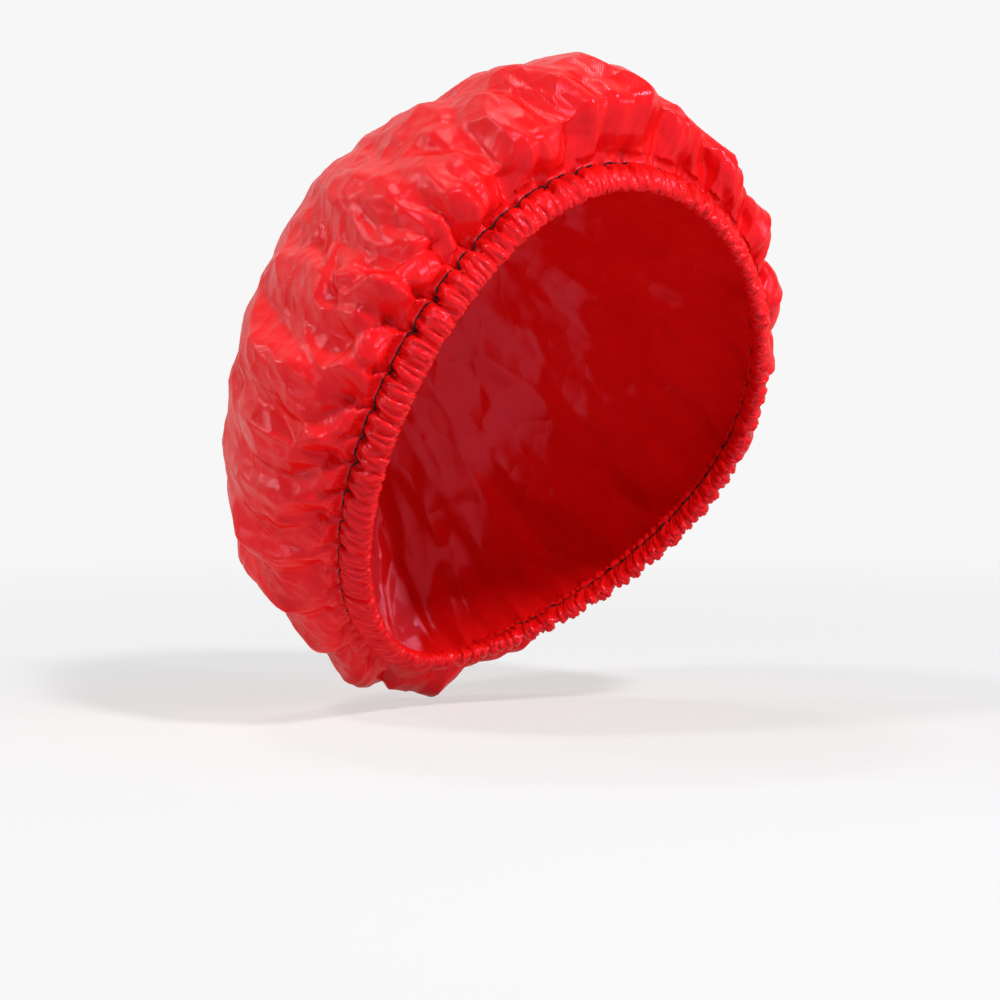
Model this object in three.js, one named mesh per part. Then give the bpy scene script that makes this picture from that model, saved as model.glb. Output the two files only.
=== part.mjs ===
// Perm cap: one round cut of thin coated twill, puffed up and drawn into folds by a flat elastic in its
// turned and stitched hem. Millimetres, +Z up as worn, -Y to the front, X across, +X to the left side.
// The origin is the middle of the opening.
import * as THREE from 'three';

// Opening: an egg-shaped lip, high at the front and low and narrower at the back.
const OPENING_HALF_HEIGHT = 101;
const OPENING_HALF_WIDTH = 80.5;
const OPENING_TILT = 57; // degrees that the opening leans back from level
const BACK_NARROWING_SHARE = 0.3; // of the half width, lost at the back
const SIDE_DROP = 20; // how far the lip bows out of the opening's plane at the sides

// Hem: the band between the lip and the crown. It leans outwards a little.
const HEM_WIDTH = 13;
const FRONT_LEAN_SHARE = 0.15;
const SIDE_LEAN_SHARE = 0.4;
const BACK_LEAN_SHARE = 0.6;

// Crown: half an egg from its middle to its widest line, then a tuck from there in to the hem.
const CROWN_HALF_WIDTH = 97;
const CROWN_FRONT_REACH = 124;
const CROWN_BACK_REACH = 117;
const CROWN_BACK_NARROWING_SHARE = 0.25;
const CROWN_DEPTH = 126; // from the opening's plane to the crown's middle
const CROWN_MIDDLE_RISE = 8; // of the crown's middle above the opening's middle, along the opening
const WIDEST_LINE_DEPTH = 7; // at the sides
const WIDEST_LINE_RISE = 4;
const BAG_REACH = 13; // of the slack bag at the back, past the widest line
const BAG_NARROWNESS = 14; // the power that fades the bag out to the sides
const WIDEST_LINE_BOW = 12; // of the widest line past its depth at the sides, at the front and back
const BOW_TOP_SHARE = 0.4; // of the way from the crown's middle to the hem, where bag and bow begin
const TUCK_ANGLE = 77; // degrees of the round from the widest line to the hem
const TUCK_START_SHARE = 0.74; // of the way from the crown's middle to the hem

// Cloth, thread and elastic.
const CLOTH_THICKNESS = 0.5;
const THREAD_DIAMETER = 0.5;
const ELASTIC_WIDTH = 6;
const ELASTIC_THICKNESS = 0.6;
const ELASTIC_LAP = 12; // the length that the elastic's ends lie over each other
const GAP = 0.3; // between pieces that touch
const STITCH_CLEARANCE = 0.8; // between a row of stitches and the ruffles that it lies on

// Hem section: the channel for the elastic, and the stitch line where its two legs close up.
const CHANNEL_HALF_GAP = 1.8;
const CHANNEL_START = 2.4; // from the lip
const CHANNEL_END = 10;
const STITCH_HALF_GAP = 0.35;
const STITCH_INSET = 1; // from the crown's edge to the stitch line
const HEM_ALLOWANCE = 3; // of the inner leg past the crown's edge
const RUFFLE_HEIGHT = 1.1; // of the hem's ruffles, either way
const LIP_RUFFLE = 0.6;

// Gathers. Each fold of the crown takes up two ruffles of the hem.
const EDGE_RISE = 2.5; // of the crown up along the hem before it swells out
const EDGE_SWELL = 1.5;
const FOLD_HEIGHT = 4.5; // of a ridge, out from the crown's smooth form
const FOLD_DEPTH = 4.5; // of a valley, in from it
const FOLD_START_SHARE = 0.08; // of the way in from the hem, where a fold has its full height
const FOLD_FADE_POWER = 0.8;
const RIDGE_REACH_SHARE = 0.12; // of the way to the crown's middle, that ridges run past the valleys
const RIDGE_SIDE_SHARE = 0.62; // of the gap between valleys, from one to the next ridge towards the front
// One row a valley, round from the front by the left side: its place as a share of the lip's length,
// how far it slants on the way to the crown's middle as a share of the same, how far it runs as a
// share of that way, and its depth as a share of the depth above.
const FOLD_SHARES = [
  [0.022, 0.02, 0.34, 0.7], [0.066, -0.02, 0.42, 0.95], [0.106, 0.02, 0.36, 0.8], [0.146, 0.05, 0.44, 1.0],
  [0.192, 0.05, 0.36, 0.8], [0.238, 0.06, 0.48, 1.1], [0.284, 0.06, 0.38, 0.85], [0.33, 0.06, 0.46, 1.0],
  [0.376, 0.05, 0.38, 0.8], [0.422, 0.03, 0.46, 1.0], [0.468, 0.01, 0.38, 0.85], [0.514, -0.02, 0.48, 1.0],
  [0.56, -0.05, 0.38, 0.85], [0.606, -0.06, 0.48, 1.05], [0.652, -0.08, 0.4, 0.9], [0.698, -0.1, 0.44, 0.95],
  [0.742, -0.13, 0.4, 1.1], [0.78, -0.15, 0.5, 1.0], [0.831, -0.15, 0.5, 1.15], [0.875, -0.13, 0.6, 1.25],
  [0.925, -0.08, 0.46, 1.0], [0.966, -0.04, 0.5, 1.0],
];

// Broad swells and hollows of the crown. Each has its place in degrees round from the front on either
// side, its place as a share of the way from the crown's middle to the hem, its spread in the same two
// measures, and its height.
const BACK_SAG = 3;
const SIDE_SWELL = 12;
const SIDE_HOLLOW = 5;
const TOP_HOLLOW = 4;
const FRONT_HOLLOW = 6;
const SWELLS = [
  { degrees: 180, share: 0.84, spread: 34, spreadShare: 0.13, height: BACK_SAG },
  { degrees: 124, share: 0.58, spread: 32, spreadShare: 0.22, height: SIDE_SWELL },
  { degrees: 60, share: 0.55, spread: 30, spreadShare: 0.2, height: -SIDE_HOLLOW },
  { degrees: 20, share: 0.35, spread: 40, spreadShare: 0.22, height: -TOP_HOLLOW },
  { degrees: 28, share: 0.72, spread: 22, spreadShare: 0.2, height: -FRONT_HOLLOW },
];
const SWELL_FADE_SHARE = 0.12; // in from the hem

// Fineness of the solids.
const COLUMNS_PER_FOLD = 4;
const UPPER_RING_SHARES = [0.24, 0.43, 0.59, 0.74, 0.87, 1];
const TUCK_RING_SHARES = [0.2, 0.4, 0.58, 0.75, 0.9, 1];
const FINE_RINGS = 10; // that have a column on each ridge and each valley
const STITCHES = 176;
const THREAD_SIDES = 4;
const ELASTIC_STEPS = 104;
const TACK_TURNS = 5;
const TACK_STEPS_PER_TURN = 8;
const LIP_STEPS = 360; // to measure the lip's length in
const TANGENT_STEP = 0.1; // degrees either side of a place on the lip, to find its direction there

const cloth = new THREE.MeshStandardMaterial({ color: 0xd81f26, roughness: 0.35, metalness: 0 });
const elasticWeave = new THREE.MeshStandardMaterial({ color: 0xf0ece2, roughness: 0.85, metalness: 0 });
const blackThread = new THREE.MeshStandardMaterial({ color: 0x141214, roughness: 0.7, metalness: 0 });

const ACROSS = new THREE.Vector3(1, 0, 0);
const TILT = THREE.MathUtils.degToRad(OPENING_TILT);
const DOWN = new THREE.Vector3(0, Math.cos(TILT), -Math.sin(TILT)); // along the opening, to the back
const INWARD = new THREE.Vector3(0, Math.sin(TILT), Math.cos(TILT)); // into the crown
const FULL_TURN = 2 * Math.PI;
const COLUMNS = FOLD_SHARES.length * COLUMNS_PER_FOLD;
const STITCH_FACE = STITCH_HALF_GAP + CLOTH_THICKNESS; // of each leg at the stitch line, from the middle
const CHANNEL_FACE = CHANNEL_HALF_GAP + CLOTH_THICKNESS;

function openingPoint(across, down, inward) {
  return new THREE.Vector3()
    .addScaledVector(ACROSS, across)
    .addScaledVector(DOWN, down)
    .addScaledVector(INWARD, inward);
}

// How far round a turn is: 0 at the front, 1 at the back.
function backShare(turn) {
  return (1 - Math.cos(turn)) / 2;
}

function lipPoint(turn) {
  const width = OPENING_HALF_WIDTH * (1 - BACK_NARROWING_SHARE * backShare(turn) ** 3);
  const drop = SIDE_DROP * Math.sin(turn) ** 2;
  return openingPoint(width * Math.sin(turn), -OPENING_HALF_HEIGHT * Math.cos(turn), -drop);
}

function leanShare(turn) {
  const front = Math.max(Math.cos(turn), 0) ** 2;
  const back = Math.max(-Math.cos(turn), 0) ** 2;
  return SIDE_LEAN_SHARE
    + (FRONT_LEAN_SHARE - SIDE_LEAN_SHARE) * front
    + (BACK_LEAN_SHARE - SIDE_LEAN_SHARE) * back;
}

// The hem's directions at a turn: along the lip, up the band, and out from the opening.
function hemFrame(turn) {
  const step = THREE.MathUtils.degToRad(TANGENT_STEP);
  const along = lipPoint(turn + step).sub(lipPoint(turn - step)).normalize();
  const flat = new THREE.Vector3().crossVectors(along, INWARD).normalize();
  const lean = leanShare(turn);
  const up = flat.clone().multiplyScalar(lean).addScaledVector(INWARD, Math.sqrt(1 - lean ** 2));
  up.addScaledVector(along, -up.dot(along)).normalize();
  const out = new THREE.Vector3().crossVectors(along, up).normalize();
  return { along, up, out };
}

// A point of the hem: up the band from the lip, and out from the elastic's line.
function hemPoint(turn, up, out) {
  const frame = hemFrame(turn);
  return lipPoint(turn).addScaledVector(frame.up, up).addScaledVector(frame.out, out);
}

// The turn at a share of the lip's length, measured round from the front by the left side.
const lipRuns = [0];
for (let i = 1; i <= LIP_STEPS; i += 1) {
  const step = lipPoint(FULL_TURN * i / LIP_STEPS).distanceTo(lipPoint(FULL_TURN * (i - 1) / LIP_STEPS));
  lipRuns.push(lipRuns[i - 1] + step);
}

function lipTurn(share) {
  const laps = Math.floor(share);
  const run = (share - laps) * lipRuns[LIP_STEPS];
  const step = Math.max(lipRuns.findIndex((length) => length > run), 1);
  const part = (run - lipRuns[step - 1]) / (lipRuns[step] - lipRuns[step - 1]);
  return FULL_TURN * (laps + (step - 1 + part) / LIP_STEPS);
}

// The place of a valley, as a share of the lip's length. Its slant carries it round as it rises.
function valleyPlace(fold, share) {
  const folds = FOLD_SHARES.length;
  const [place, slant] = FOLD_SHARES[fold % folds];
  return Math.floor(fold / folds) + place + slant * (1 - share);
}

// Columns run along the folds: valley, flank, ridge, flank. The flank towards the front is the broader.
function columnTurn(column, share) {
  const fold = Math.floor(column / COLUMNS_PER_FOLD);
  const valley = valleyPlace(fold, share);
  const next = valleyPlace(fold + 1, share);
  const leftSide = valleyPlace(fold, 1) % 1 < 1 / 2;
  const ridge = valley + (next - valley) * (leftSide ? 1 - RIDGE_SIDE_SHARE : RIDGE_SIDE_SHARE);
  const places = [valley, (valley + ridge) / 2, ridge, (ridge + next) / 2];
  return lipTurn(places[column % COLUMNS_PER_FOLD]);
}

function smooth(value) {
  const held = Math.min(Math.max(value, 0), 1);
  return held * held * (3 - 2 * held);
}

// How far a fold stands out from the crown's smooth form. It rises from the hem and runs out towards
// the crown's middle.
function foldHeight(column, share) {
  const folds = FOLD_SHARES.length;
  const fold = Math.floor(column / COLUMNS_PER_FOLD) % folds;
  const [, , reach, depth] = FOLD_SHARES[fold];
  const [, , nextReach, nextDepth] = FOLD_SHARES[(fold + 1) % folds];
  const fromHem = 1 - share;
  const rise = smooth(fromHem / FOLD_START_SHARE);
  const inValley = column % COLUMNS_PER_FOLD === 0;
  if (inValley) return -FOLD_DEPTH * depth * rise * Math.max(1 - fromHem / reach, 0) ** FOLD_FADE_POWER;
  const ridgeReach = (reach + nextReach) / 2 + RIDGE_REACH_SHARE;
  const fade = Math.max(1 - fromHem / ridgeReach, 0) ** FOLD_FADE_POWER;
  return FOLD_HEIGHT * (depth + nextDepth) / 2 * rise * fade;
}

function ruffle(column) {
  return column % 2 === 0 ? 1 : -1;
}

// The crown's smooth form, its swells and its folds. share is 0 at the crown's middle, 1 at the hem.
function crownPoint(column, share) {
  const turn = columnTurn(column, share);
  const centre = openingPoint(0, -WIDEST_LINE_RISE, WIDEST_LINE_DEPTH);
  const middle = openingPoint(0, -CROWN_MIDDLE_RISE, CROWN_DEPTH);
  const back = backShare(turn);
  const width = CROWN_HALF_WIDTH * (1 - CROWN_BACK_NARROWING_SHARE * back ** 3);
  const low = smooth((share - BOW_TOP_SHARE) / (TUCK_START_SHARE - BOW_TOP_SHARE));
  const bag = BAG_REACH * low * back ** BAG_NARROWNESS;
  const bow = WIDEST_LINE_BOW * low * Math.cos(turn) ** 2;
  const reach = CROWN_FRONT_REACH + (CROWN_BACK_REACH - CROWN_FRONT_REACH) * back + bag;
  const widest = openingPoint(width * Math.sin(turn), -reach * Math.cos(turn), bow);
  const depth = middle.clone().sub(centre);
  const fall = depth.clone().normalize();
  const facing = widest.clone().normalize(); // square to the cloth, for its folds
  const point = centre.clone();
  if (share <= TUCK_START_SHARE) {
    const angle = Math.PI / 2 * share / TUCK_START_SHARE;
    point.addScaledVector(widest, Math.sin(angle)).addScaledVector(depth, Math.cos(angle));
    facing.multiplyScalar(Math.sin(angle)).addScaledVector(fall, Math.cos(angle));
  } else {
    const edge = hemPoint(turn, HEM_WIDTH + GAP + EDGE_RISE, STITCH_FACE + EDGE_SWELL);
    const inset = centre.clone().add(widest).sub(edge);
    const drop = inset.dot(fall);
    inset.addScaledVector(fall, -drop);
    const end = THREE.MathUtils.degToRad(TUCK_ANGLE);
    const angle = end * (share - TUCK_START_SHARE) / (1 - TUCK_START_SHARE);
    point.add(widest);
    point.addScaledVector(inset, -(1 - Math.cos(angle)) / (1 - Math.cos(end)));
    point.addScaledVector(fall, -drop * Math.sin(angle) / Math.sin(end));
    facing.multiplyScalar(Math.cos(angle)).addScaledVector(fall, -Math.sin(angle));
  }
  const outwards = point.clone().sub(centre).normalize();
  const degrees = Math.abs(THREE.MathUtils.radToDeg(Math.atan2(Math.sin(turn), Math.cos(turn))));
  const fade = smooth((1 - share) / SWELL_FADE_SHARE);
  for (const swell of SWELLS) {
    const round = (degrees - swell.degrees) / swell.spread;
    const along = (share - swell.share) / swell.spreadShare;
    point.addScaledVector(outwards, swell.height * fade * Math.exp(-(round ** 2) - along ** 2));
  }
  return point.addScaledVector(facing, foldHeight(column, share));
}

// The crown's edge meets the hem's outer leg and takes its ruffles, and rises along the hem.
function crownEdgePoint(column) {
  const out = STITCH_FACE + ruffle(column) * RUFFLE_HEIGHT;
  return hemPoint(columnTurn(column, 1), HEM_WIDTH + GAP, out);
}

function crownRisePoint(column) {
  const out = STITCH_FACE + EDGE_SWELL + ruffle(column) * RUFFLE_HEIGHT / 2;
  return hemPoint(columnTurn(column, 1), HEM_WIDTH + GAP + EDGE_RISE, out);
}

// Triangles between two closed rings of vertex numbers, the outer with as many or twice as many.
function ringStrip(outer, inner) {
  const faces = [];
  const ratio = outer.length / inner.length;
  for (let i = 0; i < inner.length; i += 1) {
    const a = inner[i];
    const b = inner[(i + 1) % inner.length];
    const c = outer[i * ratio];
    const d = outer[(i * ratio + ratio) % outer.length];
    if (ratio === 1) {
      faces.push([c, d, a], [d, b, a]);
    } else {
      const m = outer[i * ratio + 1];
      faces.push([c, m, a], [m, b, a], [m, d, b]);
    }
  }
  return faces;
}

function meshGeometry(points, faces) {
  const geometry = new THREE.BufferGeometry();
  const numbers = points.flatMap((point) => point.toArray());
  geometry.setAttribute('position', new THREE.Float32BufferAttribute(numbers, 3));
  geometry.setIndex(faces.flat());
  geometry.computeVertexNormals();
  return geometry;
}

// The crown: an outer skin in rings from the hem to the crown's middle, an inner skin one thickness
// inside it, and the cut edge between them.
function crownGeometry() {
  const points = [];
  const rings = [];
  const addRing = (count, pointAt) => {
    const step = COLUMNS / count;
    const ring = [];
    for (let i = 0; i < count; i += 1) {
      ring.push(points.length);
      points.push(pointAt(i * step));
    }
    rings.push(ring);
  };
  const upper = UPPER_RING_SHARES.map((part) => part * TUCK_START_SHARE);
  const tuck = TUCK_RING_SHARES.map((part) => TUCK_START_SHARE + part * (1 - TUCK_START_SHARE));
  const shares = [...upper, ...tuck].reverse().slice(1);
  addRing(COLUMNS, crownEdgePoint);
  addRing(COLUMNS, crownRisePoint);
  shares.forEach((share, i) => {
    const count = i < FINE_RINGS - 1 ? COLUMNS / 2 : COLUMNS / COLUMNS_PER_FOLD;
    addRing(count, (column) => crownPoint(column, share));
  });
  const middle = points.length;
  points.push(crownPoint(0, 0));
  const skin = rings.slice(1).flatMap((ring, i) => ringStrip(rings[i], ring));
  const last = rings[rings.length - 1];
  last.forEach((vertex, i) => skin.push([vertex, last[(i + 1) % last.length], middle]));

  const normals = meshGeometry(points, skin).getAttribute('normal');
  const outerCount = points.length;
  const edge = rings[0];
  for (let i = 0; i < outerCount; i += 1) {
    const normal = new THREE.Vector3().fromBufferAttribute(normals, i);
    const inward = i < edge.length ? hemFrame(columnTurn(i, 1)).out : normal;
    points.push(points[i].clone().addScaledVector(inward, -CLOTH_THICKNESS));
  }
  const lining = skin.map(([a, b, c]) => [a + outerCount, c + outerCount, b + outerCount]);
  const rim = edge.flatMap((vertex, i) => {
    const next = edge[(i + 1) % edge.length];
    return [[next, vertex, vertex + outerCount], [next, vertex + outerCount, next + outerCount]];
  });
  return meshGeometry(points, [...skin, ...lining, ...rim]);
}

// A solid swept through sections of equal point count, closed on itself or capped at both ends. The
// second half of a section runs back beside the first, and its quads are cut the other way, so that
// both faces of a thin wall bend alike.
function sweptGeometry(sections, closed) {
  const size = sections[0].length;
  const points = sections.flat();
  const faces = [];
  const spans = closed ? sections.length : sections.length - 1;
  for (let i = 0; i < spans; i += 1) {
    const here = i * size;
    const there = ((i + 1) % sections.length) * size;
    for (let j = 0; j < size; j += 1) {
      const k = (j + 1) % size;
      if (j < size / 2) {
        faces.push([here + j, here + k, there + j], [there + j, here + k, there + k]);
      } else {
        faces.push([here + j, here + k, there + k], [here + j, there + k, there + j]);
      }
    }
  }
  if (!closed) {
    const end = spans * size;
    for (let j = 1; j < size - 1; j += 1) {
      faces.push([0, j + 1, j], [end, end + j, end + j + 1]);
    }
  }
  return meshGeometry(points, faces);
}

// The hem's cross-section, from the crown's edge down the outside, round the lip and up the inside,
// then back through the channel. The legs ruffle together at the stitch line and apart at the channel.
function hemSection(column) {
  const wave = ruffle(column) * RUFFLE_HEIGHT;
  const proud = RUFFLE_HEIGHT + wave;
  const lip = -ruffle(column) * LIP_RUFFLE;
  const profile = [
    [HEM_WIDTH, STITCH_FACE + wave],
    [CHANNEL_END, CHANNEL_FACE + proud],
    [CHANNEL_START, CHANNEL_FACE + proud],
    [lip, 0],
    [CHANNEL_START, -CHANNEL_FACE],
    [CHANNEL_END, -CHANNEL_FACE],
    [HEM_WIDTH + HEM_ALLOWANCE, -STITCH_FACE + wave],
    [HEM_WIDTH + HEM_ALLOWANCE, -STITCH_HALF_GAP + wave],
    [CHANNEL_END, -CHANNEL_HALF_GAP],
    [CHANNEL_START, -CHANNEL_HALF_GAP],
    [lip + CLOTH_THICKNESS, 0],
    [CHANNEL_START, CHANNEL_HALF_GAP + proud],
    [CHANNEL_END, CHANNEL_HALF_GAP + proud],
    [HEM_WIDTH, STITCH_HALF_GAP + wave],
  ];
  const turn = columnTurn(column, 1);
  return profile.map(([up, out]) => hemPoint(turn, up, out));
}

function hemGeometry() {
  const sections = [];
  for (let column = 0; column < COLUMNS; column += 1) sections.push(hemSection(column));
  return sweptGeometry(sections, true);
}

// The ruffle between columns, for what lies on the hem: column may be a fraction.
function ruffleAt(column) {
  const part = column - Math.floor(column);
  return ruffle(Math.floor(column)) * (1 - 2 * part);
}

function turnAt(column) {
  const part = column - Math.floor(column);
  const here = columnTurn(Math.floor(column), 1);
  const next = columnTurn(Math.floor(column) + 1, 1);
  return here + (next - here) * part;
}

// Where a leg's face lies at the stitch line, and how steep it is there. side is 1 outside, -1 inside.
function stitchLineFace(column, side) {
  const wave = ruffleAt(column) * RUFFLE_HEIGHT;
  const channel = side > 0 ? CHANNEL_FACE + RUFFLE_HEIGHT + wave : -CHANNEL_FACE;
  const edge = side * STITCH_FACE + wave;
  const edgeUp = side > 0 ? HEM_WIDTH : HEM_WIDTH + HEM_ALLOWANCE;
  const slope = (edge - channel) / (edgeUp - CHANNEL_END);
  const out = channel + slope * (HEM_WIDTH - STITCH_INSET - CHANNEL_END);
  return { out, slope };
}

// A row of stitches is one thread that lies on the hem along the stitch line.
function threadGeometry(side) {
  const radius = THREAD_DIAMETER / 2;
  const sections = [];
  for (let i = 0; i < STITCHES; i += 1) {
    const column = i * COLUMNS / STITCHES;
    const turn = turnAt(column);
    const frame = hemFrame(turn);
    const face = stitchLineFace(column, side);
    const clear = (STITCH_CLEARANCE + radius) * Math.sqrt(1 + face.slope ** 2);
    const heart = hemPoint(turn, HEM_WIDTH - STITCH_INSET, face.out + side * clear);
    const section = [];
    for (let j = 0; j < THREAD_SIDES; j += 1) {
      const angle = FULL_TURN * (j + 1 / 2) / THREAD_SIDES;
      section.push(heart.clone()
        .addScaledVector(frame.up, radius * Math.sin(angle))
        .addScaledVector(frame.out, -radius * Math.cos(angle)));
    }
    sections.push(section);
  }
  return sweptGeometry(sections, true);
}

const LAP_SHIFT = (ELASTIC_THICKNESS + GAP) / 2;
const TACK_HALF_OUT = LAP_SHIFT + ELASTIC_THICKNESS / 2 + GAP + THREAD_DIAMETER;
const LIP_INSIDE = LIP_RUFFLE + CLOTH_THICKNESS;
// Up the band to the elastic's lower edge: the thread round its lap just clears the lip's inner slopes.
const ELASTIC_START = LIP_INSIDE + GAP + THREAD_DIAMETER
  + (TACK_HALF_OUT + GAP) * (CHANNEL_START - LIP_INSIDE) / CHANNEL_HALF_GAP;
const LAP_TURN = ELASTIC_LAP / OPENING_HALF_WIDTH;

// A flat strip that winds once round and a little more, so that its ends lie over each other.
function elasticGeometry() {
  const sections = [];
  for (let i = 0; i <= ELASTIC_STEPS; i += 1) {
    const part = i / ELASTIC_STEPS;
    const turn = (FULL_TURN + LAP_TURN) * part - LAP_TURN / 2;
    const out = LAP_SHIFT * (2 * part - 1);
    const low = ELASTIC_START;
    const high = ELASTIC_START + ELASTIC_WIDTH;
    const half = ELASTIC_THICKNESS / 2;
    sections.push([
      hemPoint(turn, low, out + half),
      hemPoint(turn, low, out - half),
      hemPoint(turn, high, out - half),
      hemPoint(turn, high, out + half),
    ]);
  }
  return sweptGeometry(sections, false);
}

// The thread that whips the lapped ends together: a flat coil round both of them.
function tackGeometry() {
  const radius = THREAD_DIAMETER / 2;
  const halfOut = TACK_HALF_OUT - radius;
  const halfUp = ELASTIC_WIDTH / 2 + GAP + radius;
  const centreUp = ELASTIC_START + ELASTIC_WIDTH / 2;
  const steps = TACK_TURNS * TACK_STEPS_PER_TURN;
  const length = ELASTIC_LAP - 2 * THREAD_DIAMETER;
  const route = [];
  for (let i = 0; i <= steps; i += 1) {
    const angle = FULL_TURN * i / TACK_STEPS_PER_TURN;
    const cos = Math.cos(angle);
    const sin = Math.sin(angle);
    const square = 1 / Math.max(Math.abs(cos), Math.abs(sin));
    const turn = (i / steps - 1 / 2) * length / OPENING_HALF_WIDTH;
    route.push({ turn, up: centreUp + halfUp * sin * square, out: halfOut * cos * square, cos, sin });
  }
  const sections = route.map((place) => {
    const frame = hemFrame(place.turn);
    const heart = hemPoint(place.turn, place.up, place.out);
    const outwards = frame.up.clone().multiplyScalar(place.sin).addScaledVector(frame.out, place.cos);
    const section = [];
    for (let j = 0; j < THREAD_SIDES; j += 1) {
      const angle = FULL_TURN * j / THREAD_SIDES;
      section.push(heart.clone()
        .addScaledVector(outwards, radius * Math.cos(angle))
        .addScaledVector(frame.along, radius * Math.sin(angle)));
    }
    return section;
  });
  return sweptGeometry(sections, false);
}

function part(name, geometry, material) {
  const mesh = new THREE.Mesh(geometry, material);
  mesh.name = name;
  return mesh;
}

const cap = new THREE.Group();
cap.name = 'perm_cap';
cap.add(part('crown_shell', crownGeometry(), cloth));
cap.add(part('hem_casing', hemGeometry(), cloth));
cap.add(part('elastic_band', elasticGeometry(), elasticWeave));
cap.add(part('elastic_tack', tackGeometry(), blackThread));
cap.add(part('needle_thread', threadGeometry(1), blackThread));
cap.add(part('bobbin_thread', threadGeometry(-1), blackThread));

export default cap;
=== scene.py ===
# Perm cap: one round cut of thin coated twill, puffed up and gathered into a turned and stitched hem.
# Metres, +Z up as worn, -Y to the front, +X to the left side, origin in the middle of the opening.
import math

import bpy
import numpy as np
from mathutils import Matrix, Vector, noise


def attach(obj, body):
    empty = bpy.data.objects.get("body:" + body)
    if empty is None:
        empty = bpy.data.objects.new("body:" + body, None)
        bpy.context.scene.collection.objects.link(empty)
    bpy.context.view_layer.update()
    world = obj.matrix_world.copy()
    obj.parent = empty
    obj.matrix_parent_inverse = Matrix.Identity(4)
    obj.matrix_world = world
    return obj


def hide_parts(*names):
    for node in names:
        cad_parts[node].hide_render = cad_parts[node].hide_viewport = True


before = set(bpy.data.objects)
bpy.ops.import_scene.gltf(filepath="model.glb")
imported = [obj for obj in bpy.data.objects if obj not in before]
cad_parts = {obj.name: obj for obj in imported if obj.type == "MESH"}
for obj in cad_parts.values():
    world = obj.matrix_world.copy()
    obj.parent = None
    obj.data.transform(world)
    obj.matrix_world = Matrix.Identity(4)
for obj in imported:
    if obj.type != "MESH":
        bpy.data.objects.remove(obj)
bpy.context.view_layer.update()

MM = 0.001
TINY = 1e-12  # keeps a division by a length of zero finite

# The opening and the hem, as in the CAD part.
OPENING_HALF_HEIGHT = 101 * MM
OPENING_HALF_WIDTH = 80.5 * MM
OPENING_TILT = math.radians(57)
NARROWING_POWER = 3  # how late the opening and the crown narrow towards the back
BACK_NARROWING_SHARE = 0.3
SIDE_DROP = 20 * MM
FRONT_LEAN_SHARE = 0.15
SIDE_LEAN_SHARE = 0.4
BACK_LEAN_SHARE = 0.6
HEM_FRAME_STEP = math.radians(0.1)

# The crown's smooth form, as in the CAD part.
CROWN_HALF_WIDTH = 97 * MM
CROWN_FRONT_REACH = 124 * MM
CROWN_BACK_REACH = 117 * MM
CROWN_BACK_NARROWING_SHARE = 0.25
CROWN_DEPTH = 126 * MM
CROWN_MIDDLE_RISE = 8 * MM
WIDEST_LINE_DEPTH = 7 * MM
WIDEST_LINE_RISE = 4 * MM
WIDEST_LINE_BOW = 12 * MM
BAG_REACH = 13 * MM
BAG_NARROWNESS = 14
BOW_TOP_SHARE = 0.4
TUCK_ANGLE = math.radians(77)
TUCK_START_SHARE = 0.74
EDGE_RISE = 15.8 * MM  # where the crown's form starts, up the band from the lip
EDGE_OUT = 2.35 * MM

# Broad swells and hollows of the crown: degrees round from the front, share of the way from the
# crown's middle to the hem, spread in both measures, height.
SWELLS = (
    (180, 0.84, 34, 0.13, 3 * MM),
    (124, 0.58, 32, 0.22, 12 * MM),
    (60, 0.55, 30, 0.20, -5 * MM),
    (20, 0.35, 40, 0.22, -4 * MM),
    (28, 0.72, 22, 0.20, -6 * MM),
)
SWELL_FADE_SHARE = 0.12

# The main folds, as in the CAD part. One row a valley, round from the front by the left side: its place
# as a share of the lip's length, its slant on the way to the crown's middle as a share of the same, how
# far it runs as a share of that way, and its depth as a share of FOLD_DEPTH.
FOLD_HEIGHT = 4.5 * MM  # of a ridge, out from the crown's smooth form
FOLD_DEPTH = 4.5 * MM
FOLD_START_SHARE = 0.08
FOLD_FADE_POWER = 0.8
RIDGE_REACH_SHARE = 0.12
RIDGE_SIDE_SHARE = 0.62
FOLD_SHARES = (
    (0.022, 0.02, 0.34, 0.7), (0.066, -0.02, 0.42, 0.95), (0.106, 0.02, 0.36, 0.8),
    (0.146, 0.05, 0.44, 1.0), (0.192, 0.05, 0.36, 0.8), (0.238, 0.06, 0.48, 1.1),
    (0.284, 0.06, 0.38, 0.85), (0.33, 0.06, 0.46, 1.0), (0.376, 0.05, 0.38, 0.8),
    (0.422, 0.03, 0.46, 1.0), (0.468, 0.01, 0.38, 0.85), (0.514, -0.02, 0.48, 1.0),
    (0.56, -0.05, 0.38, 0.85), (0.606, -0.06, 0.48, 1.05), (0.652, -0.08, 0.4, 0.9),
    (0.698, -0.1, 0.44, 0.95), (0.742, -0.13, 0.4, 1.1), (0.78, -0.15, 0.5, 1.0),
    (0.831, -0.15, 0.5, 1.15), (0.875, -0.13, 0.6, 1.25), (0.925, -0.08, 0.46, 1.0),
    (0.966, -0.04, 0.5, 1.0),
)

ACROSS = np.array([1.0, 0.0, 0.0])
DOWN = np.array([0.0, math.cos(OPENING_TILT), -math.sin(OPENING_TILT)])
INWARD = np.array([0.0, math.sin(OPENING_TILT), math.cos(OPENING_TILT)])


def opening_point(across, down, inward):
    """A point by the opening's own axes."""
    across, down, inward = np.broadcast_arrays(across, down, inward)
    return across[..., None] * ACROSS + down[..., None] * DOWN + inward[..., None] * INWARD


def smooth(value):
    held = np.clip(value, 0, 1)
    return held * held * (3 - 2 * held)


def norms(vectors):
    return np.linalg.norm(vectors, axis=-1)


def unit(vectors):
    return vectors / np.maximum(norms(vectors)[..., None], TINY)


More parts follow.
